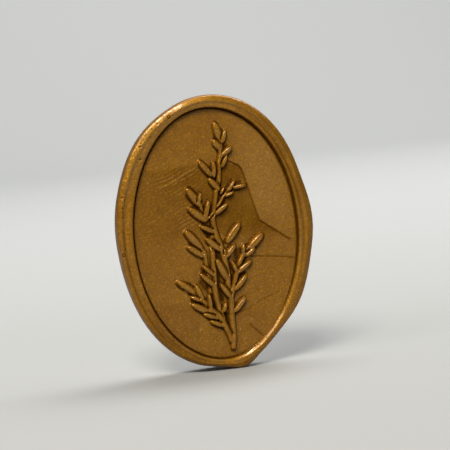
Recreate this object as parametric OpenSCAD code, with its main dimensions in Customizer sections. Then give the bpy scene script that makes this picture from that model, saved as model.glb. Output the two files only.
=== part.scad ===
// Ready-made oval wax seal: one stamped wax casting on a foam adhesive pad with a release liner.
// It stands on its long axis with the stamped face toward -Y and the adhesive side toward +Y.
// The origin is the centre of the oval on the adhesive face that the liner protects.

/* [Wax casting] */
// Width of the flat oval field that the stamp presses
field_width = 20; // [16:0.5:26]
// Height of the flat oval field
field_height = 30; // [24:0.5:38]
// Thickness of the wax under the field
field_thickness = 2.2; // [1.6:0.1:3]
// Height of the rim above the field
rim_rise = 0.9; // [0.6:0.1:1.3]
// Mean width of the wax that spread past the stamp
rim_width = 1.4; // [1.1:0.1:2]
// How much wider the rim is at the sides than at the ends
rim_flare = 0.3; // [0:0.05:0.5]
// Depth of the shallow groove between the inner lip and the outer roll
rim_groove = 0.2; // [0:0.05:0.35]
// How far the rounder upper left of the rim slopes down to the field
rim_bevel = 0.3; // [0:0.05:0.4]

/* [Sprig relief] */
// Height of the leaves above the field
leaf_rise = 0.65; // [0.3:0.05:0.8]
// Height of the stems above the field
stem_rise = 0.5; // [0.2:0.05:0.7]
// Plumpness of the leaves, 1 being the drawn width
leaf_fullness = 1.2; // [0.7:0.05:1.3]

/* [Adhesive pad] */
// Distance from the field's edge in to the pad's edge
pad_inset = 0.8; // [0.6:0.1:4]
// Thickness of the foam
foam_thickness = 0.8; // [0.4:0.1:1.5]
// Thickness of the adhesive film on each side of the foam
adhesive_thickness = 0.1; // [0.05:0.05:0.3]

/* [Release liner] */
// Thickness of the siliconised paper
liner_thickness = 0.1; // [0.06:0.02:0.2]
// Width of the finger tab
tab_width = 6; // [4:0.5:10]
// How far the finger tab reaches past the pad
tab_length = 1.1; // [0.6:0.1:1.4]

/* [Hidden] */
around = 120;
pad_thickness = foam_thickness + 2 * adhesive_thickness;
crest = field_thickness + rim_rise;
half = [field_width / 2, field_height / 2];
pad_half = [half[0] - pad_inset, half[1] - pad_inset];
sprig_scale = min(field_width / 20, field_height / 30);

// Where the soft wax ran wide or was pinched: angle, half spread in degrees, change of width
lobes = [
    [4, 22, 0.35],
    [54, 45, 0.6],
    [95, 50, 0.45],
    [133, 25, 0.22],
    [150, 45, 0.45],
    [178, 34, 0.15],
    [225, 45, 0.28],
    [262, 10, -0.1],
    [280, 12, 0.5],
    [306, 24, -0.45]
];

// Bubbles that burst at the rim: angle, share of the rim's width, radius
pits = [
    [114, 0.5, 0.25],
    [121, 0.68, 0.15],
    [135, 0.7, 0.18],
    [141, 0.33, 0.2],
    [152, 0.8, 0.18],
    [161, 0.62, 0.2],
    [184, 0.75, 0.2]
];

// Stems: width, then the points from foot to tip
stems = [
    [0.85, [[0.8, -13.8], [1, -12.6], [1, -11], [1, -9.9], [1.1, -8.4], [1.1, -7.3]]],
    [0.8, [[0.7, -13], [0.4, -12], [-0.1, -10.7], [-0.4, -9.4], [-0.7, -7.7], [-0.8, -6.3],
           [-0.7, -4], [-0.7, -2.1], [-0.7, -1.5], [-0.5, -0.4]]],
    [0.8, [[1.1, -7.3], [0.9, -6.3], [0.9, -4.7], [0.8, -3.6], [0.6, -2.5], [0.4, -1.5], [0, -0.3],
           [-0.2, 1], [-0.3, 1.8]]],
    [0.7, [[-0.3, 1.8], [0, 3], [0.4, 5], [0.9, 6.5], [1.1, 8.5], [1.4, 9.5], [1.4, 11.2]]],
    [0.7, [[-0.1, -10.9], [-0.6, -9.8], [-1.3, -9.1], [-2, -8.2], [-2.8, -7.4], [-3.3, -6.8]]],
    [0.6, [[-1.1, -5.9], [-1.4, -4.6], [-1.6, -3.3], [-1.6, -2.1], [-2, -1.6]]],
    [0.7, [[1.2, -7.5], [1.6, -6.3], [1.9, -5.3], [2.2, -4.5], [2.6, -3.5], [2.9, -3], [3.4, -2.5],
           [4, -1.9], [4.2, -1.6]]],
    [0.45, [[0.4, 3.2], [1.2, 4.4], [1.8, 4.9], [2.6, 5.3]]],
    [0.4, [[-0.1, 2.7], [-0.7, 2.1], [-1.1, 1.8]]],
    [0.5, [[-1.1, 1.8], [-1.4, 2.6], [-1.7, 3.6]]]
];

// Leaves of the tall stem: base, tip, width
tall_leaves = [
    [[1.5, 11.1], [0.9, 13.3], 0.95],
    [[1.7, 10.8], [2.2, 12.3], 0.6],
    [[1.4, 10], [0.5, 11.2], 0.8],
    [[1.5, 9.2], [2.8, 10.2], 0.75],
    [[1.4, 7.9], [2.1, 9.2], 0.55],
    [[0.3, 6.8], [0.4, 8.6], 0.65],
    [[0, 7], [-1.4, 8.9], 0.8],
    [[0.8, 5.2], [-0.4, 6.7], 0.8],
    [[0.9, 4.7], [1.4, 5.5], 0.35],
    [[0.1, 2.4], [1.7, 3.5], 0.65],
    [[-0.2, 0.2], [-1.9, 1.1], 0.65],
    [[0.3, -2], [-1.4, -0.4], 0.8]
];

// Leaves of the two branches near the top
upper_leaves = [
    [[1.7, 4.8], [2.8, 6.2], 0.55],
    [[2.6, 5.3], [4.2, 5.5], 0.6],
    [[1.5, 4.4], [2.6, 4.8], 0.45],
    [[-1.6, 3.5], [-3.2, 5.8], 1],
    [[-1.9, 3.7], [-1.5, 5.1], 0.5],
    [[-1.2, 1.7], [-3.1, 3.4], 0.95],
    [[-1.2, 2], [-0.6, 4.1], 0.65]
];

// Leaves of the left branches
left_leaves = [
    [[-2, -1.5], [-3.8, 0.8], 1],
    [[-1.9, -2.5], [-3.7, -1.1], 0.8],
    [[-3.2, -6.8], [-5.3, -5.1], 0.85],
    [[-2.4, -7.7], [-3.1, -5.8], 0.7],
    [[-2.6, -7.8], [-3.9, -7.1], 0.5],
    [[-1.3, -9.6], [-3.9, -8], 0.85],
    [[-1.5, -9], [-1.6, -7.1], 0.55],
    [[-0.8, -10.1], [-2.5, -9.4], 0.6],
    [[-0.2, -11.1], [-1.8, -10.3], 0.6],
    [[-0.7, -6.3], [-2.5, -4.5], 0.7],
    [[-0.7, -5], [-2, -3.7], 0.55]
];

// Leaves of the centre and right branches
right_leaves = [
    [[0.8, -2.9], [2.2, -1.5], 0.75],
    [[0.8, -2.7], [0.8, -1.9], 0.3],
    [[1.2, -1.1], [3, 1.1], 0.95],
    [[0.8, -5.6], [-0.3, -3], 0.9],
    [[2.1, -4.9], [4, -3.6], 0.7],
    [[2.1, -5], [1.6, -3.5], 0.55],
    [[3, -2.8], [3.2, -1.5], 0.5],
    [[3.4, -3], [4.6, -2.1], 0.6],
    [[3.9, -2.1], [5.7, -0.5], 1],
    [[1.7, -6.9], [3.3, -5.2], 0.7],
    [[1.4, -9.5], [2.9, -7.9], 0.7],
    [[0, -9.4], [0.4, -8.3], 0.55],
    [[1.1, -7.9], [-0.1, -6], 0.7]
];

// Cosine hump that is 1 at the centre angle and 0 past the half spread
function hump(angle, centre, spread) =
    let (away = abs((angle - centre + 540) % 360 - 180))
    away < spread ? 0.5 + 0.5 * cos(180 * away / spread) : 0;

function total(list, i = 0) = i < len(list) ? list[i] + total(list, i + 1) : 0;

// Width of the rim at an angle round the oval
function width_at(angle) =
    rim_width + rim_flare * cos(2 * angle)
    + total([for (lobe = lobes) lobe[2] * hump(angle, lobe[0], lobe[1])]);

// The groove fades where the rim is narrow and at the rounder upper left
function groove_at(angle) =
    rim_groove * min(1, width_at(angle) / 1.6) * (1 - 0.8 * hump(angle, 115, 75));

// The upper left of the rim slopes in toward the field
function bevel_at(angle) = rim_bevel * hump(angle, 115, 95);

// Cross-section of the rim: distance out from the field's edge, height above the wax's flat back
function rim_section(wide, groove, bevel) = [
    [-0.08, field_thickness],
    [0.02, field_thickness + 0.6 * rim_rise - 0.6 * bevel],
    [0.1 * wide, crest - 0.09 - bevel],
    [0.2 * wide, crest - 0.75 * bevel],
    [0.29 * wide, crest - 0.6 * groove - 0.4 * bevel],
    [0.38 * wide, crest - groove - 0.2 * bevel],
    [0.47 * wide, crest - 0.4 * groove],
    [0.57 * wide, crest - 0.03],
    [0.68 * wide, crest - 0.11],
    [0.8 * wide, crest - 0.22],
    [0.89 * wide, crest - 0.35],
    [0.96 * wide, crest - 0.65],
    [wide, 0.61 * crest],
    [0.95 * wide, 0.35 * crest],
    [0.86 * wide, 0.15 * crest],
    [0.74 * wide, 0]
];

// A point out from the oval field's edge, measured square to that edge
function beside_oval(angle, out) =
    let (normal = [half[1] * cos(angle), half[0] * sin(angle)])
    [half[0] * cos(angle), half[1] * sin(angle)] + out * normal / norm(normal);

module casting() {
    step = 360 / around;
    ring = len(rim_section(1, 0, 0));
    sections = [for (i = [0 : around - 1])
        let (angle = i * step)
        let (section = rim_section(width_at(angle), groove_at(angle), bevel_at(angle)))
        for (s = section)
            let (p = beside_oval(angle, s[0]))
            [p[0], -pad_thickness - s[1], p[1]]];
    field = [for (i = [around - 1 : -1 : 0]) i * ring];
    back = [for (i = [0 : around - 1]) i * ring + ring - 1];
    sides = [for (i = [0 : around - 1], j = [0 : ring - 2])
        let (a = i * ring + j, b = ((i + 1) % around) * ring + j)
        for (f = [[a, b, b + 1], [a, b + 1, a + 1]]) f];
    polyhedron(sections, concat([field, back], sides));
}

module on_field(p) {
    translate([p[0], -pad_thickness - field_thickness, p[1]])
        children();
}

// A leaf is a plump pod, half sunk in the field
module leaf(base, tip, width) {
    way = tip - base;
    long = norm(way);
    wide = width * leaf_fullness;
    on_field(base)
        rotate([0, -atan2(way[1], way[0]), 0])
        scale([1, 2 * leaf_rise / wide, 1])
        hull() {
            sphere(d = 0.45 * wide, $fn = 8);
            translate([0.38 * long, 0, 0])
                sphere(d = wide, $fn = 10);
            translate([0.64 * long, 0, 0])
                sphere(d = 0.8 * wide, $fn = 8);
            translate([long - 0.09, 0, 0])
                sphere(d = 0.18, $fn = 6);
        }
}

module stem(width, points) {
    for (i = [0 : len(points) - 2])
        hull() {
            on_field(points[i])
                scale([1, 2 * stem_rise / width, 1])
                sphere(d = width, $fn = 8);
            on_field(points[i + 1])
                scale([1, 2 * stem_rise / width, 1])
                sphere(d = width, $fn = 8);
        }
}

module sprig() {
    centred = [0, -pad_thickness - field_thickness, 0];
    translate(centred)
        scale([sprig_scale, 1, sprig_scale])
        translate(-centred) {
            for (s = stems)
                stem(s[0], s[1]);
            for (l = concat(tall_leaves, upper_leaves, left_leaves, right_leaves))
                leaf(l[0], l[1], l[2]);
        }
}

module wax_seal() {
    color([0.5, 0.34, 0.12])
    difference() {
        union() {
            casting();
            sprig();
        }
        for (p = pits)
            let (spot = beside_oval(p[0], p[1] * width_at(p[0])))
            translate([spot[0], -pad_thickness - crest + 0.1, spot[1]])
                sphere(r = p[2], $fn = 8);
    }
}

module pad_oval() {
    scale([pad_half[0], pad_half[1]])
        circle(r = 1, $fn = 120);
}

// An oval sheet between two distances from the adhesive face, toward -Y
module sheet(near, thick) {
    translate([0, -near, 0])
        rotate([90, 0, 0])
        linear_extrude(thick)
        pad_oval();
}

module front_adhesive() {
    color([0.86, 0.86, 0.82])
    sheet(pad_thickness - adhesive_thickness, adhesive_thickness);
}

module foam_core() {
    color([0.94, 0.94, 0.92])
    sheet(adhesive_thickness, foam_thickness);
}

module back_adhesive() {
    color([0.86, 0.86, 0.82])
    sheet(0, adhesive_thickness);
}

module release_liner() {
    color([0.93, 0.9, 0.8])
    translate([0, liner_thickness, 0])
        rotate([90, 0, 0])
        linear_extrude(liner_thickness)
        union() {
            pad_oval();
            translate([0, 0.5 * tab_width - pad_half[1] - tab_length])
                circle(d = tab_width, $fn = 48);
        }
}

wax_seal();
front_adhesive();
foam_core();
back_adhesive();
release_liner();
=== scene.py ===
"""Self-adhesive oval wax seal: a cast wax oval with a stamped sprig, its foam pad and its peel-off liner."""

import math

import bmesh
import bpy
import numpy as np
from bpy.props import FloatProperty, IntProperty, PointerProperty, StringProperty
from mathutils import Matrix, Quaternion, Vector
from mathutils.bvhtree import BVHTree


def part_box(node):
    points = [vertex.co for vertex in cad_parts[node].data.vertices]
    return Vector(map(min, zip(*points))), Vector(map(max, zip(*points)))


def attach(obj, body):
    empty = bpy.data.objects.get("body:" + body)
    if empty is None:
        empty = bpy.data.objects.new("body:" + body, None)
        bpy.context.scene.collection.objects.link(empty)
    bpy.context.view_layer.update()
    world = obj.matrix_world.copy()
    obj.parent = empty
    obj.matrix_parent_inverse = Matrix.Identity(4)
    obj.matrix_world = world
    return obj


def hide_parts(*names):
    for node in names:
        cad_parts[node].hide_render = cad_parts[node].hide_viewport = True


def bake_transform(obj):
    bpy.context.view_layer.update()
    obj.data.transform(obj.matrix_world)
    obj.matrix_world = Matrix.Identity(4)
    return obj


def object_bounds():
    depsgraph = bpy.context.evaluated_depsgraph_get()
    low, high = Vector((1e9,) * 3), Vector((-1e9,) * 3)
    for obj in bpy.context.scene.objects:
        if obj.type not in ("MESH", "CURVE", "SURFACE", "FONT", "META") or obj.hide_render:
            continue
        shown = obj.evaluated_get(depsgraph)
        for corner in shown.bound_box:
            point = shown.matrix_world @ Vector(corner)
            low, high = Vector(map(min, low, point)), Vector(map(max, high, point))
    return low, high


bl_info = {
    "name": "Oval Wax Seal",
    "version": (1, 0, 0),
    "blender": (4, 5, 0),
    "location": "View3D > Sidebar > Wax Seal",
    "description": "Builds a stamped oval wax seal with its adhesive pad and release liner",
    "category": "Object",
}

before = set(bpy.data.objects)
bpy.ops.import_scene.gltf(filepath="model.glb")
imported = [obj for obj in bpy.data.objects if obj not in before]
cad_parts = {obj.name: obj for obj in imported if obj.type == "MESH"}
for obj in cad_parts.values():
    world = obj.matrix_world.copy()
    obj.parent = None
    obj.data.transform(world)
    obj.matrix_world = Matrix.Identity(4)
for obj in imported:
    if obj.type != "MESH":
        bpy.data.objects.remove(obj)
CAD_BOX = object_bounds()
MM = 0.001

# The sprig, in millimetres from the oval's centre with x to the right and z up.
# Stems: width, then points from foot to tip.
STEMS = [
    (0.85, [(0.8, -13.8), (1, -12.6), (1, -11), (1, -9.9), (1.1, -8.4), (1.1, -7.3)]),
    (0.8, [(0.7, -13), (0.4, -12), (-0.1, -10.7), (-0.4, -9.4), (-0.7, -7.7), (-0.8, -6.3), (-0.7, -4),
           (-0.7, -2.1), (-0.7, -1.5), (-0.5, -0.4)]),
    (0.8, [(1.1, -7.3), (0.9, -6.3), (0.9, -4.7), (0.8, -3.6), (0.6, -2.5), (0.4, -1.5), (0, -0.3), (-0.2, 1),
           (-0.3, 1.8)]),
    (0.7, [(-0.3, 1.8), (0, 3), (0.4, 5), (0.9, 6.5), (1.1, 8.5), (1.4, 9.5), (1.4, 11.2)]),
    (0.7, [(-0.1, -10.9), (-0.6, -9.8), (-1.3, -9.1), (-2, -8.2), (-2.8, -7.4), (-3.3, -6.8)]),
    (0.6, [(-1.1, -5.9), (-1.4, -4.6), (-1.6, -3.3), (-1.6, -2.1), (-2, -1.6)]),
    (0.7, [(1.2, -7.5), (1.6, -6.3), (1.9, -5.3), (2.2, -4.5), (2.6, -3.5), (2.9, -3), (3.4, -2.5), (4, -1.9),
           (4.2, -1.6)]),
    (0.45, [(0.4, 3.2), (1.2, 4.4), (1.8, 4.9), (2.6, 5.3)]),
    (0.4, [(-0.1, 2.7), (-0.7, 2.1), (-1.1, 1.8)]),
    (0.5, [(-1.1, 1.8), (-1.4, 2.6), (-1.7, 3.6)]),
]

# Leaves, in millimetres: base x and z, tip x and z, width.
LEAVES = [
    (1.5, 11.1, 0.9, 13.3, 0.95), (1.7, 10.8, 2.2, 12.3, 0.6), (1.4, 10, 0.5, 11.2, 0.8),
    (1.5, 9.2, 2.8, 10.2, 0.75), (1.4, 7.9, 2.1, 9.2, 0.55), (0.3, 6.8, 0.4, 8.6, 0.65),
    (0, 7, -1.4, 8.9, 0.8), (0.8, 5.2, -0.4, 6.7, 0.8), (0.9, 4.7, 1.4, 5.5, 0.35),
    (1.7, 4.8, 2.8, 6.2, 0.55), (2.6, 5.3, 4.2, 5.5, 0.6), (1.5, 4.4, 2.6, 4.8, 0.45),
    (0.1, 2.4, 1.7, 3.5, 0.65), (-1.6, 3.5, -3.2, 5.8, 1), (-1.9, 3.7, -1.5, 5.1, 0.5),
    (-1.2, 1.7, -3.1, 3.4, 0.95), (-1.2, 2, -0.6, 4.1, 0.65), (-0.2, 0.2, -1.9, 1.1, 0.65),
    (0.3, -2, -1.4, -0.4, 0.8), (-2, -1.5, -3.8, 0.8, 1), (-1.9, -2.5, -3.7, -1.1, 0.8),
    (0.8, -2.9, 2.2, -1.5, 0.75), (0.8, -2.7, 0.8, -1.9, 0.3), (1.2, -1.1, 3, 1.1, 0.95),
    (0.8, -5.6, -0.3, -3, 0.9), (2.1, -4.9, 4, -3.6, 0.7), (2.1, -5, 1.6, -3.5, 0.55),
    (3, -2.8, 3.2, -1.5, 0.5), (3.4, -3, 4.6, -2.1, 0.6), (3.9, -2.1, 5.7, -0.5, 1),
    (1.7, -6.9, 3.3, -5.2, 0.7), (1.4, -9.5, 2.9, -7.9, 0.7), (0, -9.4, 0.4, -8.3, 0.55),
    (1.1, -7.9, -0.1, -6, 0.7), (-3.2, -6.8, -5.3, -5.1, 0.85), (-2.4, -7.7, -3.1, -5.8, 0.7),
    (-2.6, -7.8, -3.9, -7.1, 0.5), (-1.3, -9.6, -3.9, -8, 0.85), (-1.5, -9, -1.6, -7.1, 0.55),
    (-0.8, -10.1, -2.5, -9.4, 0.6), (-0.2, -11.1, -1.8, -10.3, 0.6), (-0.7, -6.3, -2.5, -4.5, 0.7),
    (-0.7, -5, -2, -3.7, 0.55),
]

# Lines where two folds of cooling wax met, drawn darker as painted shade:
# width, depth, points, all in millimetres.
CREASES = [
    (0.2, 0.05, [(4, -3.1), (5.4, -3.3), (7, -3.5), (8.4, -3.7), (9.6, -4)]),
    (0.12, 0.04, [(-0.7, -9.4), (0.3, -9.7), (1, -9.8), (2, -9.6), (3, -9.5), (3.9, -9), (5, -8.5),
                  (6, -8.1), (7.2, -7.7)]),
    (0.15, 0.07, [(3.2, -11.3), (4.1, -12.3), (5.1, -13.2)]),
    (0.12, 0.03, [(2.6, -10.2), (3.1, -10.1), (3.8, -10.5)]),
]

# Deep places between the stems, where the die's edges stood close, also drawn darker as painted shade:
# width, depth, points, in millimetres.
GAPS = [
    (0.6, 0.2, [(-0.1, -2), (-0.1, -3.1)]), (0.6, 0.2, [(-0.2, -3.7), (-0.2, -5.6), (0.1, -8)]),
    (0.5, 0.2, [(1.3, -3.8), (1.2, -5.9)]), (0.5, 0.2, [(-1.2, -7.3), (-0.9, -9)]),
    (0.6, 0.14, [(2.4, -2.3), (2.2, -3.1)]), (0.5, 0.16, [(-2, -4), (-1.4, -4.8)]),
    (0.6, 0.14, [(-2.4, -5.6), (-1.9, -6.4)]), (0.4, 0.2, [(0.3, -9.6), (0.5, -11.8)]),
    (0.5, 0.16, [(-1.3, 0.4), (-0.9, -0.2)]), (0.4, 0.12, [(1.4, -5.3), (2.4, -5.2)]),
    (0.4, 0.12, [(-1.6, -6), (-1.6, -7)]),
]

# Fine raised arcs and flecks in the field, where the wax set first: width, height, points, in millimetres.
RIDGES = [
    (0.1, 0.02, [(1.9, -11.2), (2.3, -10.8), (2.9, -10.6), (3.4, -10.8), (3.7, -11.3)]),
    (0.1, 0.02, [(2.1, -10.9), (2.5, -10.5), (3, -10.4), (3.6, -10.7)]),
    (0.14, 0.05, [(-3, -11.5), (-2.9, -11.2)]), (0.08, 0.02, [(-3.3, -13.7), (-2.3, -13.6)]),
    (0.14, 0.04, [(1.9, -11.9), (2, -11.6)]), (0.12, 0.04, [(-1.7, 9.6), (-1.6, 9.4)]),
    (0.16, 0.05, [(7.1, 9.1), (7.3, 8.8)]), (0.12, 0.04, [(7.5, 8.7), (7.7, 8.3)]),
    (0.12, 0.03, [(-6.3, 6.1), (-5, 6.5), (-3.9, 7), (-2.9, 7.7), (-1.9, 8)]),
]

# Bubbles that burst on the rim, their hollows drawn darker as painted shade: angle round the oval,
# share of the rim's width, radius in millimetres.
BUBBLES = [
    (101, 0.37, 0.1), (114, 0.5, 0.26), (121, 0.68, 0.11), (124, 0.55, 0.07), (129, 0.45, 0.13),
    (131, 0.52, 0.08), (134, 0.76, 0.1), (135.5, 0.68, 0.14), (141, 0.33, 0.16), (143, 0.42, 0.1),
    (147, 0.5, 0.08), (151, 0.27, 0.1), (151.6, 0.8, 0.09), (152.2, 0.9, 0.12), (160, 0.8, 0.13),
    (160.6, 0.93, 0.12), (161.2, 0.62, 0.1), (162, 0.38, 0.09), (164.5, 0.7, 0.12), (166.4, 0.68, 0.1),
    (168.2, 0.63, 0.1), (175, 0.6, 0.07), (182, 0.6, 0.1), (184.5, 0.78, 0.22), (190, 0.5, 0.07),
    (206, 0.3, 0.09), (219, 0.2, 0.08), (231.5, 0.25, 0.09), (236, 0.3, 0.07),
]

# Stretches of the rim, as a centre and a spread in degrees from the oval's right-hand end.
ROUND_SHOULDER = (118, 65)
LOW_STRETCH = (305, 60)
SHARP_LIP = (303, 85)
TIGHT_SIDE = (190, 95)

# How far the mica flakes lie off the surface, as the spread of their normals.
FLAKE_TILT = 0.24

# How bluntly a leaf starts and ends: 0.5 is an ellipse's end, more is a sharper one.
LEAF_FOOT, LEAF_TIP = 0.42, 0.42
LEAF_FULLNESS = 1.04

# The flat field ends this far inside the nominal oval, in millimetres, at the foot of the rim's inner wall.
WALL_FOOT = 0.32


class WaxSealSizes(bpy.types.PropertyGroup):
    """Sizes of the seal that a user would change."""

    field_width: FloatProperty(
        name="Field width", description="Width of the flat oval", default=20 * MM, unit="LENGTH")
    field_height: FloatProperty(
        name="Field height", description="Height of the flat oval", default=30 * MM, unit="LENGTH")
    rim_rise: FloatProperty(
        name="Rim rise", description="Height of the rim above the field", default=0.9 * MM, unit="LENGTH")
    relief: FloatProperty(
        name="Relief", description="Height of the sprig above the field", default=0.65 * MM, unit="LENGTH")
    columns: IntProperty(
        name="Field columns", description="Cells across the oval field", default=190, min=60, max=240)
    rows: IntProperty(
        name="Field rows", description="Cells up the oval field", default=284, min=60, max=320)


class WaxSealColours(bpy.types.PropertyGroup):
    """Colours of the seal, as sRGB hex values."""

    wax: StringProperty(name="Wax", description="Body colour of the wax", default="#714808")
    # The mica colour also paints the highlights on the leaf tops and on the rim's lip and shoulder.
    mica: StringProperty(name="Mica", description="Colour of the mica where it lies flat", default="#8A6216")
    # The shade colour paints the shade in the crevices, gaps, creases, bubbles and the rim's moat and outer
    # side, as well as the darker mica patch in the field.
    shade: StringProperty(name="Shade", description="Colour where the mica lies edge on", default="#301607")
    foam: StringProperty(name="Foam", description="Foam of the pad", default="#DAD9D3")
    film: StringProperty(name="Film", description="Adhesive film", default="#CBCAC1")
    liner: StringProperty(name="Liner", description="Release paper", default="#EADFC2")
    floor: StringProperty(name="Floor", description="Studio floor and backdrop", default="#888988")


def linear(hex_colour):
    """An sRGB hex colour as linear red, green, blue and alpha."""
    values = [int(hex_colour[i:i + 2], 16) / 255 for i in (1, 3, 5)]
    return (*[v / 12.92 if v <= 0.04045 else ((v + 0.055) / 1.055) ** 2.4 for v in values], 1)


def add_node(tree, kind, settings=(), inputs=(), links=()):
    """A node of that kind with its settings, input values and links made."""
    node = tree.nodes.new(kind)
    for name, value in dict(settings).items():
        setattr(node, name, value)
    for name, value in dict(inputs).items():
        node.inputs[name].default_value = value
    for name, source in dict(links).items():
        tree.links.new(source, node.inputs[name])
    return node


def new_material(name):
    """An empty material with its Principled shader and output, and the coordinates in metres."""
    material = bpy.data.materials.new(name)
    material.use_nodes = True
    tree = material.node_tree
    tree.nodes.clear()
    shader = add_node(tree, "ShaderNodeBsdfPrincipled")
    add_node(tree, "ShaderNodeOutputMaterial", links={"Surface": shader.outputs[0]})
    place = add_node(tree, "ShaderNodeTexCoord").outputs["Object"]
    return material, tree, shader, place


def per_metre(size_mm):
    """Texture scale whose features are that many millimetres apart."""
    return 1 / (size_mm * MM)


def pearl_wax(colours):
    """Pearlescent sealing wax, poured and stamped: mica gives a soft metallic sheen, sparkle and swirls."""
    material, tree, shader, place = new_material("pearlescent_sealing_wax")
    swirl = add_node(tree, "ShaderNodeTexNoise", inputs={
        "Scale": per_metre(5), "Detail": 4, "Roughness": 0.55, "Distortion": 1.2}, links={"Vector": place})
    tone = add_node(tree, "ShaderNodeValToRGB", links={"Fac": swirl.outputs["Fac"]})
    tone.color_ramp.elements[0].position = 0.2
    tone.color_ramp.elements[0].color = linear(colours.wax)
    tone.color_ramp.elements[1].position = 1.0
    tone.color_ramp.elements[1].color = linear(colours.mica)
    # The attribute read here shifts the colour: below 0 towards the shade colour, above 0 towards the mica
    # colour. Besides the mica's own tone it carries painted shade in crevices, gaps, creases, bubbles and the
    # rim's moat and outer side, and painted highlights on the leaf tops, the rim's sharp lip and its rounded
    # shoulder.
    tone_shift = add_node(tree, "ShaderNodeAttribute", {"attribute_name": "mica_lay_and_painted_light"})
    darker = add_node(tree, "ShaderNodeMapRange", inputs={
        "From Min": 0, "From Max": -1, "To Min": 0, "To Max": 0.9}, links={"Value": tone_shift.outputs["Fac"]})
    lighter = add_node(tree, "ShaderNodeMapRange", inputs={
        "From Min": 0, "From Max": 1, "To Min": 0, "To Max": 0.85}, links={"Value": tone_shift.outputs["Fac"]})
    shaded = add_node(tree, "ShaderNodeMix", {"data_type": "RGBA"})
    tree.links.new(darker.outputs[0], shaded.inputs[0])
    tree.links.new(tone.outputs["Color"], shaded.inputs[6])
    shaded.inputs[7].default_value = linear(colours.shade)
    lit = add_node(tree, "ShaderNodeMix", {"data_type": "RGBA"})
    tree.links.new(lighter.outputs[0], lit.inputs[0])
    tree.links.new(shaded.outputs[2], lit.inputs[6])
    lit.inputs[7].default_value = linear(colours.mica)
    # Flakes are about 0.05 mm across in the wax; they are drawn at 0.13 mm so that they show.
    flakes = add_node(tree, "ShaderNodeTexVoronoi", inputs={
        "Scale": per_metre(0.13)}, links={"Vector": place})
    sparkle = add_node(tree, "ShaderNodeSeparateColor", links={"Color": flakes.outputs["Color"]})
    # A few flakes are drawn brighter in the colour, as painted glints; most are drawn a little darker.
    rare = add_node(tree, "ShaderNodeMath", {"operation": "POWER"}, {1: 5}, {0: sparkle.outputs[0]})
    bright = add_node(tree, "ShaderNodeMapRange", inputs={
        "From Min": 0, "From Max": 1, "To Min": 0.88, "To Max": 1.6}, links={"Value": rare.outputs[0]})
    colour = add_node(tree, "ShaderNodeVectorMath", {"operation": "SCALE"}, links={
        0: lit.outputs[2], "Scale": bright.outputs[0]})
    lean = add_node(tree, "ShaderNodeVectorMath", {"operation": "SUBTRACT"}, {1: (0.5,) * 3}, {
        0: flakes.outputs["Color"]})
    face = add_node(tree, "ShaderNodeNewGeometry")
    tilted = add_node(tree, "ShaderNodeVectorMath", {"operation": "MULTIPLY_ADD"}, {1: (FLAKE_TILT,) * 3}, {
        0: lean.outputs[0], 2: face.outputs["Normal"]})
    grain = add_node(tree, "ShaderNodeTexNoise", inputs={
        "Scale": per_metre(0.35), "Detail": 3, "Roughness": 0.6}, links={"Vector": place})
    soft = add_node(tree, "ShaderNodeTexNoise", inputs={
        "Scale": per_metre(1.6), "Detail": 2}, links={"Vector": place})
    bump_grain = add_node(tree, "ShaderNodeBump", inputs={
        "Strength": 0.35, "Distance": 0.02 * MM}, links={
        "Height": grain.outputs["Fac"], "Normal": tilted.outputs[0]})
    bump_soft = add_node(tree, "ShaderNodeBump", inputs={
        "Strength": 0.5, "Distance": 0.06 * MM}, links={
        "Height": soft.outputs["Fac"], "Normal": bump_grain.outputs["Normal"]})
    bump_coat = add_node(tree, "ShaderNodeBump", inputs={
        "Strength": 0.25, "Distance": 0.05 * MM}, links={"Height": soft.outputs["Fac"]})
    # The free side and the crevices cooled with a dull skin; where the mica lies flat the skin is glossiest.
    skin = add_node(tree, "ShaderNodeMapRange", {"clamp": False}, {
        "From Min": -0.4, "From Max": 0, "To Min": 0.05, "To Max": 0.45}, links={"Value": tone_shift.outputs["Fac"]})
    # Each flake near the skin lifts or dulls the gloss over it.
    patchy = add_node(tree, "ShaderNodeMapRange", inputs={
        "From Min": 0, "From Max": 1, "To Min": 0.1, "To Max": 1.9}, links={"Value": sparkle.outputs[1]})
    gloss = add_node(tree, "ShaderNodeMath", {"operation": "MULTIPLY", "use_clamp": True}, links={
        0: skin.outputs[0], 1: patchy.outputs[0]})
    rough = add_node(tree, "ShaderNodeMapRange", inputs={
        "From Min": 0.3, "From Max": 0.7, "To Min": 0.4, "To Max": 0.52}, links={
        "Value": soft.outputs["Fac"]})
    tree.links.new(colour.outputs[0], shader.inputs["Base Color"])
    tree.links.new(rough.outputs[0], shader.inputs["Roughness"])
    tree.links.new(gloss.outputs[0], shader.inputs["Coat Weight"])
    tree.links.new(bump_soft.outputs["Normal"], shader.inputs["Normal"])
    tree.links.new(bump_coat.outputs["Normal"], shader.inputs["Coat Normal"])
    shader.inputs["Specular Tint"].default_value = linear("#A07040")
    shader.inputs["Metallic"].default_value = 0.5
    shader.inputs["Coat Roughness"].default_value = 0.22
    return material


def cell_foam(colours):
    """Closed-cell polyethylene foam tape, die-cut: fine cut cells show on its edge."""
    material, tree, shader, place = new_material("closed_cell_foam")
    cells = add_node(tree, "ShaderNodeTexVoronoi", inputs={"Scale": per_metre(0.16)}, links={"Vector": place})
    shade = add_node(tree, "ShaderNodeValToRGB", links={"Fac": cells.outputs["Distance"]})
    shade.color_ramp.elements[0].color = linear(colours.film)
    shade.color_ramp.elements[1].position = 0.5
    shade.color_ramp.elements[1].color = linear(colours.foam)
    bump = add_node(tree, "ShaderNodeBump", inputs={
        "Strength": 0.8, "Distance": 0.06 * MM}, links={"Height": cells.outputs["Distance"]})
    tree.links.new(shade.outputs["Color"], shader.inputs["Base Color"])
    tree.links.new(bump.outputs["Normal"], shader.inputs["Normal"])
    shader.inputs["Roughness"].default_value = 0.85
    shader.inputs["Subsurface Weight"].default_value = 0.15
    shader.inputs["Subsurface Scale"].default_value = 0.4 * MM
    return material


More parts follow.
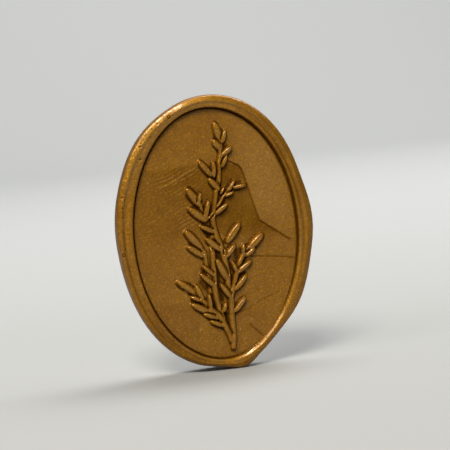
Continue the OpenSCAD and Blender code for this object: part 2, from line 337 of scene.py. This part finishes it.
def tacky_film(colours):
    """Acrylic adhesive film: a glossy, faintly rippled skin that picks up dust."""
    material, tree, shader, place = new_material("acrylic_adhesive_film")
    ripple = add_node(tree, "ShaderNodeTexNoise", inputs={
        "Scale": per_metre(1.1), "Detail": 3}, links={"Vector": place})
    tint = add_node(tree, "ShaderNodeValToRGB", links={"Fac": ripple.outputs["Fac"]})
    tint.color_ramp.elements[0].position = 0.35
    tint.color_ramp.elements[0].color = linear(colours.film)
    tint.color_ramp.elements[1].position = 0.7
    tint.color_ramp.elements[1].color = linear(colours.foam)
    bump = add_node(tree, "ShaderNodeBump", inputs={
        "Strength": 0.6, "Distance": 0.03 * MM}, links={"Height": ripple.outputs["Fac"]})
    tree.links.new(tint.outputs["Color"], shader.inputs["Base Color"])
    tree.links.new(bump.outputs["Normal"], shader.inputs["Normal"])
    shader.inputs["Roughness"].default_value = 0.22
    shader.inputs["Coat Weight"].default_value = 0.5
    return material


def glassine(colours):
    """Siliconised glassine paper, calendered: a slick sheet with faint clouding and fibres."""
    material, tree, shader, place = new_material("siliconised_glassine_paper")
    cloud = add_node(tree, "ShaderNodeTexNoise", inputs={
        "Scale": per_metre(2.2), "Detail": 5, "Roughness": 0.6}, links={"Vector": place})
    tint = add_node(tree, "ShaderNodeValToRGB", links={"Fac": cloud.outputs["Fac"]})
    tint.color_ramp.elements[0].position = 0.35
    tint.color_ramp.elements[0].color = linear("#DCCFAE")
    tint.color_ramp.elements[1].position = 0.65
    tint.color_ramp.elements[1].color = linear(colours.liner)
    fibre = add_node(tree, "ShaderNodeTexNoise", inputs={
        "Scale": per_metre(0.4), "Detail": 4, "Distortion": 2}, links={"Vector": place})
    bump = add_node(tree, "ShaderNodeBump", inputs={
        "Strength": 0.4, "Distance": 0.015 * MM}, links={"Height": fibre.outputs["Fac"]})
    tree.links.new(tint.outputs["Color"], shader.inputs["Base Color"])
    tree.links.new(bump.outputs["Normal"], shader.inputs["Normal"])
    shader.inputs["Roughness"].default_value = 0.38
    shader.inputs["Coat Weight"].default_value = 0.25
    return material


def studio_paper(colours):
    """Matt seamless backdrop paper: a pale, even floor."""
    material, tree, shader, place = new_material("seamless_backdrop_paper")
    tooth = add_node(tree, "ShaderNodeTexNoise", inputs={
        "Scale": per_metre(0.8), "Detail": 3}, links={"Vector": place})
    bump = add_node(tree, "ShaderNodeBump", inputs={
        "Strength": 0.15, "Distance": 0.05 * MM}, links={"Height": tooth.outputs["Fac"]})
    tree.links.new(bump.outputs["Normal"], shader.inputs["Normal"])
    shader.inputs["Base Color"].default_value = linear(colours.floor)
    shader.inputs["Roughness"].default_value = 0.9
    return material


def mesh_object(name, points, faces, material, smooth=True):
    """A smooth-shaded object from points in metres."""
    mesh = bpy.data.meshes.new(name)
    mesh.from_pydata([tuple(p) for p in points], [], faces)
    mesh.materials.append(material)
    mesh.validate()
    mesh.update()
    for polygon in mesh.polygons:
        polygon.use_smooth = smooth
    piece = bpy.data.objects.new(name, mesh)
    bpy.context.scene.collection.objects.link(piece)
    return piece


def outward(piece):
    """Turns every face of a closed piece outward."""
    mesh = bmesh.new()
    mesh.from_mesh(piece.data)
    bmesh.ops.recalc_face_normals(mesh, faces=mesh.faces)
    mesh.to_mesh(piece.data)
    mesh.free()


def smoothstep(value):
    """0 below 0, 1 above 1 and a smooth rise between."""
    t = np.clip(value, 0, 1)
    return t * t * (3 - 2 * t)


def hump(angles, centre, spread):
    """A cosine hump: 1 at a centre in degrees, 0 past the spread."""
    away = np.abs((np.degrees(angles) - centre + 540) % 360 - 180)
    return np.where(away < spread, 0.5 + 0.5 * np.cos(math.pi * away / spread), 0)


def near_line(x, z, points):
    """Distance from each place to a line through the points."""
    best = np.full(x.shape, 1e9)
    for (x0, z0), (x1, z1) in zip(points, points[1:]):
        dx, dz = x1 - x0, z1 - z0
        t = np.clip(((x - x0) * dx + (z - z0) * dz) / (dx * dx + dz * dz), 0, 1)
        best = np.minimum(best, np.hypot(x - x0 - t * dx, z - z0 - t * dz))
    return best


def dome(share, power=2.5):
    """Height of a rounded, slightly flat-topped bead at a share of its half width."""
    return np.clip(1 - np.clip(np.abs(share), 0, 1) ** power, 0, 1) ** (1 / power)


def leaf_form(x, z, leaf):
    """How far each place is outside one pressed leaf, and the leaf's height as a share of the relief."""
    x0, z0, x1, z1, width = leaf
    width *= LEAF_FULLNESS
    dx, dz = x1 - x0, z1 - z0
    long = math.hypot(dx, dz)
    u = ((x - x0) * dx + (z - z0) * dz) / long / long
    v = ((z - z0) * dx - (x - x0) * dz) / long
    along = np.clip((u + 0.08) / 1.08, 1e-4, 1 - 1e-4)
    fullest = LEAF_FOOT / (LEAF_FOOT + LEAF_TIP)
    girth = along ** LEAF_FOOT * (1 - along) ** LEAF_TIP
    girth = girth / (fullest ** LEAF_FOOT * (1 - fullest) ** LEAF_TIP)
    half = 0.5 * width * girth
    share = v / np.maximum(half, 1e-4)
    inside = (u > -0.08) & (u < 1) & (np.abs(share) < 1)
    vein = 1 - 0.1 * np.exp(-(v / (0.12 * width)) ** 2) * smoothstep(along * 4) * smoothstep((1 - along) * 5)
    beside = np.where((u > 0.15) & (u < 1), np.abs(v) - half, 9)
    return beside, np.where(inside, dome(share) * np.clip(girth, 0, 1) ** 0.4 * vein, 0)


def laid_over(below, beside, form, clear=1):
    """Adds a form in front of what is there, with the fine line the die leaves round it where it is clear."""
    line = 1 - 0.6 * clear * np.exp(-((beside - 0.05) / 0.08) ** 2)
    return np.maximum(below * line, form)


def sprig_height(x, z):
    """Height of the whole sprig above the field, as a share of the relief."""
    height = np.zeros(x.shape)
    for width, points in STEMS:
        width = 0.88 * width
        beside = near_line(x, z, points) - 0.5 * width
        clear = smoothstep((np.hypot(x - points[0][0], z - points[0][1]) / width - 0.6) / 0.8)
        height = laid_over(height, beside, 0.82 * dome(1 + beside / (0.5 * width)), clear)
    for leaf in LEAVES:
        height = laid_over(height, *leaf_form(x, z, leaf))
    return height


def crevice(height):
    """How deep each place of a square grid lies between what surrounds it, from 0 to 1."""
    around = height.copy()
    for axis in (0, 1, 0, 1):
        around = sum(np.roll(around, step, axis) for step in range(-3, 4)) / 7
    return smoothstep((around - height - 0.14) / 0.22)


def line_form(x, z, lines):
    """Depth or height in millimetres of a set of fine lines in the field."""
    form = 0
    for width, deep, points in lines:
        form = form + deep * np.exp(-(near_line(x, z, points) / (0.5 * width)) ** 2)
    return form


def mica_edge(z):
    """How far to the right the darker mica reaches: its edge leans, rounds off on top and flares below."""
    return 5.7 - 0.25 * z - np.clip(z - 7.4, 0, None) ** 2 + 1.05 * np.clip(1.15 - z, 0, None)


def mica_lay_and_painted_light(x, z):
    """How the mica lies: below 0 edge on and dark, above 0 flat and bright.
    The creases are drawn darker, as painted shade, and the ridges lighter.
    """
    left_by = mica_edge(np.clip(z, -1.6, 8.4)) - x
    dark = smoothstep(left_by / 0.12) * np.exp(-np.clip(left_by, 0, None) / 8)
    dark = dark * smoothstep((8.7 - z) / 0.8) * smoothstep((z + 1.8) / 2.5)
    tone_shift = -0.65 * dark + 0.75 * np.exp(-(((x - 6.5) / 3.2) ** 2 + ((z - 6.5) / 5) ** 2))
    flow = z - 0.42 * x - 0.03 * (x + 4) ** 2 + 0.06 * np.sin(2.1 * x)
    streaks = np.clip(np.sin(2 * math.pi * flow / 0.48), 0, 1) ** 2 * (0.7 + 0.3 * np.sin(5.3 * x + 2 * z))
    streaks = streaks * (0.6 + 0.4 * np.sin(2 * math.pi * flow / 1.9 + 0.6 * x))
    upper = np.exp(-(((x + 3.9) / 2.4) ** 2 + ((z - 7) / 1.6) ** 2))
    lower = np.exp(-(((x + 3.5) / 1.3) ** 2 + ((z - 2) / 1.8) ** 2))
    tone_shift += 1.9 * streaks * (upper + 0.8 * lower) - 0.2 * upper
    edge = [(mica_edge(high), high) for high in np.linspace(8.55, -1.6, 16)]
    tone_shift -= 1.1 * np.exp(-(near_line(x, z, edge) / 0.1) ** 2)
    return tone_shift - 12 * line_form(x, z, CREASES) + 30 * line_form(x, z, RIDGES)


def wax_piece(sizes, material):
    """The whole casting as one closed skin, its outline taken from the CAD casting."""
    low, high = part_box("wax_seal")
    half_x, half_z = sizes.field_width / 2 / MM, sizes.field_height / 2 / MM
    back = high.y / MM
    crest = (high.y - low.y) / MM
    rise = sizes.rim_rise / MM
    field = crest - rise
    columns, rows = sizes.columns // 2 * 2, sizes.rows // 2 * 2
    # A square grid wrapped onto the oval, with its columns closer together where the sprig is.
    spread = np.linspace(-1, 1, columns + 1)
    a, b = np.meshgrid(spread * (0.6 + 0.4 * spread ** 2), np.linspace(-1, 1, rows + 1), indexing="ij")
    wide = np.abs(a) > np.abs(b)
    safe_a, safe_b = np.where(a == 0, 1, a), np.where(b == 0, 1, b)
    radius = np.where(wide, a, b)
    turn = np.where(wide, math.pi / 4 * b / safe_a, math.pi / 2 - math.pi / 4 * a / safe_b)
    turn = np.where((a == 0) & (b == 0), 0, turn)
    x, z = (half_x - WALL_FOOT) * radius * np.cos(turn), (half_z - WALL_FOOT) * radius * np.sin(turn)
    edge = np.clip(1 - np.hypot(x / half_x, z / half_z), 0, 1)
    wave = 0.018 * np.sin(0.55 * x + 0.8 * np.sin(0.4 * z)) * np.sin(0.42 * z + 0.6) * smoothstep(edge * 8)
    sprig = sprig_height(x, z)
    height = field + sizes.relief / MM * sprig - line_form(x, z, CREASES) + line_form(x, z, RIDGES) + wave
    between = line_form(x, z, GAPS) * (1 - smoothstep(sprig / 0.4))
    height = np.minimum(height - between - 0.06 * crevice(sprig), crest - 0.01)
    # Painted shade: the field is drawn darker in the crevices beside the sprig and in the deep gaps between
    # the stems. Painted highlight: the tops of the leaves and stems are drawn lighter.
    tone_shift = mica_lay_and_painted_light(x, z) * (1 - 0.6 * sprig) - 1.4 * crevice(sprig) - 6 * between
    tone_shift = tone_shift + 0.5 * smoothstep((sprig - 0.7) / 0.3)
    points = np.stack([x, back - height, z], -1).reshape(-1, 3)
    lays_with_painted_light = [tone_shift.ravel()]
    index = np.arange((columns + 1) * (rows + 1)).reshape(columns + 1, rows + 1)
    faces = [
        (index[i, j], index[i + 1, j], index[i + 1, j + 1], index[i, j + 1])
        for i in range(columns) for j in range(rows)
    ]
    ring = [*index[columns, rows // 2:rows], *index[columns:0:-1, rows], *index[0, rows:0:-1],
            *index[0:columns, 0], *index[columns, 0:rows // 2]]
    count = len(ring)
    ring_points = points[ring]
    angles = np.unwrap(np.arctan2(ring_points[:, 2] / half_z, ring_points[:, 0] / half_x))
    widths = rim_widths(angles, half_x, half_z, back - 0.61 * crest)
    section = rim_section(rise, crest)
    normal = np.stack([half_z * np.cos(angles), half_x * np.sin(angles)], -1)
    normal = normal / np.linalg.norm(normal, axis=1, keepdims=True)
    rings = [np.array(ring)]
    total = len(points)
    blocks = [points]
    lower_right = hump(angles, *LOW_STRETCH)
    gap = 0.75 - 0.15 * np.cos(angles - math.radians(10)) - 0.3 * lower_right + 0.3 * hump(angles, 48, 45)
    outset = 0.19 + 0.035 * np.cos(angles) + 0.09 * hump(angles, 110, 50) - 0.03 * hump(angles, 240, 50)
    outset = outset - 0.17 * hump(angles, 312, 40) + 0.08 * hump(angles, 268, 22)
    lip = hump(angles, *SHARP_LIP)
    shoulder = hump(angles, *ROUND_SHOULDER)
    uneven = 0.02 * np.sin(9 * angles + 1.3) + 0.015 * np.sin(23 * angles + 0.4)
    # On the left the groove lies further out, and the outer roll is tighter.
    left = hump(angles, *TIGHT_SIDE)
    for off, plain, level, groove, bevel, shade in section:
        shade = 0.8 * shade
        share = plain + 0.2 * left * math.sin(math.pi * plain)
        deep = groove * groove_depth(angles, widths) * (1 - lower_right)
        deep = deep + 0.2 * bevel * hump(angles, 115, 95) + 0.42 * bevel ** 3 * lip
        deep = deep - max(field - level, 0) * (level > 0.9 * field) * lower_right
        deep = deep - 0.35 * (crest - level) * shoulder * (0.5 < plain < 0.96)
        deep = deep + (uneven + 0.035) * smoothstep((level - field) / rise * 2 - 1) * (bevel < 1)
        out = (off * gap + outset) * (1 - share) - WALL_FOOT + share * (widths + WALL_FOOT)
        px, pz = half_x * np.cos(angles) + out * normal[:, 0], half_z * np.sin(angles) + out * normal[:, 1]
        pit = bubble_depth(angles, widths, share) * smoothstep((0.93 - share) / 0.12)
        high_here = level - deep - pit
        high_here = np.where(level > field, field + (high_here - field) * (1 - 0.5 * lower_right), high_here)
        high_here = np.minimum(high_here, crest - 0.01)
        blocks.append(np.stack([px, back - high_here, pz], -1))
        # Painted light on the rim: the moat, the groove and the outer side are drawn darker as painted shade,
        # less so at the lower right and on the right; the sharp lip at the lower right and the rounded
        # shoulder at the upper left are drawn lighter as painted highlights; the burst bubbles are drawn
        # darker as painted shade.
        tone_shift = shade * (1 - lower_right) * (1 - 0.2 * hump(angles, 20, 90)) + bevel ** 3 * lip - 18 * pit
        lays_with_painted_light.append(np.clip(tone_shift + 0.7 * shoulder * math.sin(math.pi * plain), -1, 1))
        rings.append(np.arange(total, total + count))
        total += count
    points = np.concatenate(blocks)
    for inner, outer in zip(rings, rings[1:]):
        faces += [
            (inner[k], outer[k], outer[(k + 1) % count], inner[(k + 1) % count]) for k in range(count)
        ]
    faces.append([int(k) for k in rings[-1]])
    piece = mesh_object("wax_casting", points * MM, [tuple(int(k) for k in f) for f in faces], material)
    tone_layer = piece.data.attributes.new("mica_lay_and_painted_light", "FLOAT", "POINT")
    tone_layer.data.foreach_set("value", np.concatenate(lays_with_painted_light).astype(np.float32))
    outward(piece)
    return piece


def rim_widths(angles, half_x, half_z, level):
    """Width of the rim at each angle, from rays cast in to the CAD casting."""
    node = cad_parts["wax_seal"]
    tree = BVHTree.FromPolygons([v.co for v in node.data.vertices], [p.vertices for p in node.data.polygons])
    reach = 5.0
    steps = np.linspace(0, 2 * math.pi, 480, endpoint=False)
    widths = []
    for angle in steps:
        nx, nz = half_z * math.cos(angle), half_x * math.sin(angle)
        long = math.hypot(nx, nz)
        nx, nz = nx / long, nz / long
        start = Vector((half_x * math.cos(angle) + reach * nx, level, half_z * math.sin(angle) + reach * nz))
        start = start * MM
        hit = tree.ray_cast(start, Vector((-nx, 0, -nz)))
        widths.append(reach - hit[3] / MM)
    widths = np.array(widths)
    kernel = np.exp(-np.linspace(-2, 2, 9) ** 2)
    kernel /= kernel.sum()
    padded = np.concatenate([widths[-4:], widths, widths[:4]])
    smooth = np.convolve(padded, kernel, mode="valid")
    return np.interp(angles % (2 * math.pi), np.append(steps, 2 * math.pi), np.append(smooth, smooth[0]))


def rim_section(rise, crest):
    """Rim cross-section from the field's edge to the back.

    Each point has an offset in mm, a share of the rim's width, a height, shares of the groove and of the
    bevel, and how much painted shade it gets: in the moat at the field's edge, in the groove and on the
    outer side.
    """
    field = crest - rise
    knots = np.array([
        (0, 0, field, 0, 0, 0),
        (0.02, 0, field, 0, 0, -0.4),
        (0.05, 0, field - 0.15, 0, 0, -1),
        (0.12, 0, field - 0.2, 0, 0, -1),
        (0.18, 0, field, 0, 0, -1),
        (0.21, 0, field + 0.4 * rise, 0, 0.3, -1),
        (0.24, 0.01, field + 0.75 * rise, 0, 0.7, -0.8),
        (0.27, 0.03, crest - 0.08, 0, 1, -0.2),
        (0.28, 0.09, crest, 0, 0.95, 0),
        (0.28, 0.18, crest, 0.15, 0.75, 0),
        (0.28, 0.28, crest, 0.6, 0.45, 0),
        (0.26, 0.37, crest, 0.8, 0.2, -0.1),
        (0.22, 0.46, crest, 0.4, 0.05, 0),
        (0.18, 0.55, crest - 0.02, 0, 0, 0),
        (0.13, 0.63, crest - 0.07, 0, 0, 0),
        (0.1, 0.72, crest - 0.14, 0, 0, 0),
        (0.05, 0.8, crest - 0.22, 0, 0, 0),
        (0, 0.88, crest - 0.32, 0, 0, 0),
        (0, 0.94, crest - 0.48, 0, 0, -0.1),
        (0, 0.98, crest - 0.78, 0, 0, -0.3),
        (0, 1, 0.61 * crest, 0, 0, -0.4),
        (0, 0.95, 0.35 * crest, 0, 0, -0.3),
        (0, 0.86, 0.15 * crest, 0, 0, 0),
        (0, 0.74, 0, 0, 0, 0),
    ], float)
    steps = []
    for i in range(len(knots) - 1):
        p0, p1 = knots[max(i - 1, 0)], knots[i]
        p2, p3 = knots[i + 1], knots[min(i + 2, len(knots) - 1)]
        for t in (0.0, 0.5):
            steps.append(0.5 * (2 * p1 + (p2 - p0) * t + (2 * p0 - 5 * p1 + 4 * p2 - p3) * t * t
                                + (3 * p1 - p0 - 3 * p2 + p3) * t ** 3))
    steps.append(knots[-1])
    section = np.array(steps)[1:]
    section[:, 1] = np.clip(section[:, 1], 0, 1)
    section[:, 2] = np.clip(section[:, 2], 0, crest)
    return section


def groove_depth(angles, widths):
    """Depth in millimetres of the groove along the rim: it fades at the rounder upper left."""
    return 0.27 * np.minimum(1, widths / 1.6) * (1 - 0.8 * hump(angles, 115, 75))


def bubble_depth(angles, widths, share):
    """Depth in millimetres of the burst bubbles at this share of the rim's width.

    The large ones kept their middle.
    """
    depth = np.zeros(angles.shape)
    for angle, at, radius in BUBBLES:
        around = np.abs((np.degrees(angles) - angle + 540) % 360 - 180)
        apart = np.hypot(np.radians(around) * 13.5, (share - at) * widths) / radius
        depth += 0.8 * radius * np.clip(1 - apart ** 2, 0, 1) ** 0.7
        if radius > 0.2:
            depth -= 1.1 * radius * np.clip(1 - (1.8 * apart) ** 2, 0, 1)
    return depth


class WAXSEAL_OT_casting(bpy.types.Operator):
    """Builds the wax casting with its rim, field and sprig"""

    bl_idname = "wax_seal.casting"
    bl_label = "Wax Casting"

    def execute(self, context):
        piece = wax_piece(context.scene.wax_seal_sizes, pearl_wax(context.scene.wax_seal_colours))
        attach(piece, "seal")
        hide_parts("wax_seal")
        return {"FINISHED"}


def oval_slab(name, node, material, around=240, layers=4, ragged=0.0):
    """A closed oval slab that fills a CAD layer's box, its cut edge a little uneven."""
    low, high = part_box(node)
    half_x, half_z = (high.x - low.x) / 2, (high.z - low.z) / 2
    points, faces = [], []
    for layer in range(layers + 1):
        y = low.y + (high.y - low.y) * layer / layers
        for step in range(around):
            angle = 2 * math.pi * step / around
            edge_on = layer in (0, layers)
            wander = math.sin(step * 2.3 + 1.7 * layer) * math.cos(step * 0.91 + 2.9 * layer)
            cut = ragged * (0.5 + 0.5 * wander)
            cut = 0.3 * ragged if edge_on else cut
            points.append(((half_x - cut) * math.cos(angle), y, (half_z - cut) * math.sin(angle)))
    for layer in range(layers):
        for step in range(around):
            a, b = layer * around + step, layer * around + (step + 1) % around
            faces.append((a, b, b + around, a + around))
    faces.append(tuple(range(around)))
    faces.append(tuple(range(layers * around, (layers + 1) * around)))
    piece = mesh_object(name, points, faces, material)
    outward(piece)
    piece.data.set_sharp_from_angle(angle=math.radians(40))
    return piece


class WAXSEAL_OT_pad(bpy.types.Operator):
    """Builds the foam core and the adhesive film on each side of it"""

    bl_idname = "wax_seal.pad"
    bl_label = "Adhesive Pad"

    def execute(self, context):
        colours = context.scene.wax_seal_colours
        film = tacky_film(colours)
        layers = [
            ("film_to_wax", "front_adhesive", film, "adhesive", 2, 0.0),
            ("foam_pad", "foam_core", cell_foam(colours), "foam", 8, 0.05 * MM),
            ("film_to_paper", "back_adhesive", film, "adhesive", 2, 0.0),
        ]
        for name, node, material, slot, count, ragged in layers:
            piece = oval_slab(name, node, material, around=480, layers=count, ragged=ragged)
            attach(piece, "seal")
            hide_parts(node)
        return {"FINISHED"}


class WAXSEAL_OT_liner(bpy.types.Operator):
    """Builds the release liner: a flat sheet with a round tab at its foot"""

    bl_idname = "wax_seal.liner"
    bl_label = "Release Liner"

    def execute(self, context):
        material = glassine(context.scene.wax_seal_colours)
        low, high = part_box("release_liner")
        pad_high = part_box("back_adhesive")[1]
        half_x, half_z = pad_high.x, pad_high.z
        tab_radius = 3 * MM
        tab_z = low.z + tab_radius
        rows, columns = 200, 24
        shares = (1 - np.cos(np.linspace(0, math.pi, rows + 1))) / 2
        points, faces = [], []
        for share in shares:
            z = low.z + (high.z - low.z) * share
            oval = half_x * math.sqrt(max(0, 1 - (z / half_z) ** 2))
            tab = math.sqrt(max(0, tab_radius ** 2 - (z - tab_z) ** 2)) if z < tab_z else 0
            wide = max(oval, tab, 0.02 * MM)
            for y in (low.y, high.y):
                for column in range(columns + 1):
                    points.append((wide * (2 * column / columns - 1), y, z))
        side = columns + 1
        for row in range(rows):
            a = row * 2 * side
            b = a + 2 * side
            for column in range(columns):
                faces.append((a + column, a + column + 1, b + column + 1, b + column))
                a1, b1 = a + side + column, b + side + column
                faces.append((a1, b1, b1 + 1, a1 + 1))
            for column in (0, columns):
                faces.append((a + column, b + column, b + side + column, a + side + column))
        for row in (0, rows):
            a = row * 2 * side
            faces += [(a + c, a + side + c, a + side + c + 1, a + c + 1) for c in range(columns)]
        piece = mesh_object("release_paper", points, faces, material)
        outward(piece)
        piece.data.set_sharp_from_angle(angle=math.radians(40))
        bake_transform(piece)
        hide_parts("release_liner")
        return {"FINISHED"}


def soft_light(name, place, aim, size, power, colour="#FFFFFF"):
    """A square softbox at a place, aimed at a point."""
    light = bpy.data.lights.new(name, "AREA")
    light.size = size
    light.energy = power
    light.color = linear(colour)[:3]
    lamp = bpy.data.objects.new(name, light)
    bpy.context.scene.collection.objects.link(lamp)
    lamp.location = place
    lamp.rotation_euler = (Vector(aim) - Vector(place)).to_track_quat("-Z", "Y").to_euler()
    return lamp


class WAXSEAL_OT_stage(bpy.types.Operator):
    """Builds the floor, the lights and the camera"""

    bl_idname = "wax_seal.stage"
    bl_label = "Stage"

    def execute(self, context):
        low, high = CAD_BOX
        floor_z = low.z - 0.01 * MM
        points = []
        reach, bend = 1.2, 0.25
        back = 0.45
        profile = [(-reach, 0.0), (back, 0.0)]
        for turn in np.linspace(0.1, math.pi / 2, 16):
            profile.append((back + bend * math.sin(turn), bend * (1 - math.cos(turn))))
        profile.append((back + bend, 1.5))
        for y, z in profile:
            points += [(-reach, y, floor_z + z), (reach, y, floor_z + z)]
        faces = [(2 * i, 2 * i + 1, 2 * i + 3, 2 * i + 2) for i in range(len(profile) - 1)]
        mesh_object("studio_floor", points, faces, studio_paper(context.scene.wax_seal_colours))
        centre = Vector((0, low.y, 0))
        soft_light("key_window", (-0.142, -0.323, 0.352), centre, 0.18, 3.75, "#FFFAF0")
        soft_light("side_window", (-0.45, -0.3, 0.42), centre, 0.3, 1.6, "#FFFBF2")
        soft_light("fill_front", (0.25, -0.6, 0.15), centre, 0.4, 0.3, "#F2F5FF")
        soft_light("back_fill", (0.35, 0.18, 0.5), (0.03, 0.03, floor_z), 0.4, 2.3, "#FFFFFF")
        soft_light("backdrop_wash", (0.12, 0.2, 0.5), (0.12, 0.7, 0.1), 0.5, 7.2, "#FFFFFF")
        world = bpy.data.worlds.new("studio_air")
        world.use_nodes = True
        world.node_tree.nodes["Background"].inputs["Color"].default_value = linear("#E8ECF0")
        world.node_tree.nodes["Background"].inputs["Strength"].default_value = 0.08
        context.scene.world = world
        self.place_camera(context, Vector((0, -3.2 * MM, 0)))
        context.scene.view_settings.view_transform = "Standard"
        return {"FINISHED"}

    def place_camera(self, context, field_centre):
        """A long lens a little to the left and above, rolled so that the seal leans as it stands."""
        azimuth, elevation, roll = math.radians(-12.5), math.radians(5), math.radians(5.2)
        picture_height = 53.7 * MM
        aside, above = 1.15 * MM, 0.95 * MM
        camera = bpy.data.cameras.new("product_camera")
        camera.lens = 150
        camera.sensor_width = 36
        distance = picture_height * camera.lens / camera.sensor_width
        away = Vector((math.sin(azimuth) * math.cos(elevation), -math.cos(azimuth) * math.cos(elevation),
                       math.sin(elevation)))
        turn = (-away).to_track_quat("-Z", "Y")
        right, up = turn @ Vector((1, 0, 0)), turn @ Vector((0, 1, 0))
        lens = bpy.data.objects.new("product_camera", camera)
        context.scene.collection.objects.link(lens)
        lens.location = field_centre + away * distance + right * aside + up * above
        lens.rotation_mode = "QUATERNION"
        lens.rotation_quaternion = turn @ Quaternion((0, 0, 1), -roll)
        camera.clip_start = 0.01
        camera.clip_end = 10
        context.scene.camera = lens


class WAXSEAL_PT_panel(bpy.types.Panel):
    """Lists the pieces and their sizes"""

    bl_idname = "WAXSEAL_PT_panel"
    bl_label = "Wax Seal"
    bl_space_type = "VIEW_3D"
    bl_region_type = "UI"
    bl_category = "Wax Seal"

    def draw(self, context):
        layout = self.layout
        for group in (context.scene.wax_seal_sizes, context.scene.wax_seal_colours):
            for name in group.__annotations__:
                layout.prop(group, name)
        for operator in OPERATORS:
            layout.operator(operator.bl_idname)


OPERATORS = (WAXSEAL_OT_casting, WAXSEAL_OT_pad, WAXSEAL_OT_liner, WAXSEAL_OT_stage)
CLASSES = (WaxSealSizes, WaxSealColours, *OPERATORS, WAXSEAL_PT_panel)


def register():
    for item in CLASSES:
        bpy.utils.register_class(item)
    bpy.types.Scene.wax_seal_sizes = PointerProperty(type=WaxSealSizes)
    bpy.types.Scene.wax_seal_colours = PointerProperty(type=WaxSealColours)


def unregister():
    del bpy.types.Scene.wax_seal_colours
    del bpy.types.Scene.wax_seal_sizes
    for item in reversed(CLASSES):
        bpy.utils.unregister_class(item)


def main():
    register()
    bpy.ops.wax_seal.casting()
    bpy.ops.wax_seal.pad()
    bpy.ops.wax_seal.liner()
    bpy.ops.wax_seal.stage()


if __name__ == "__main__":
    main()
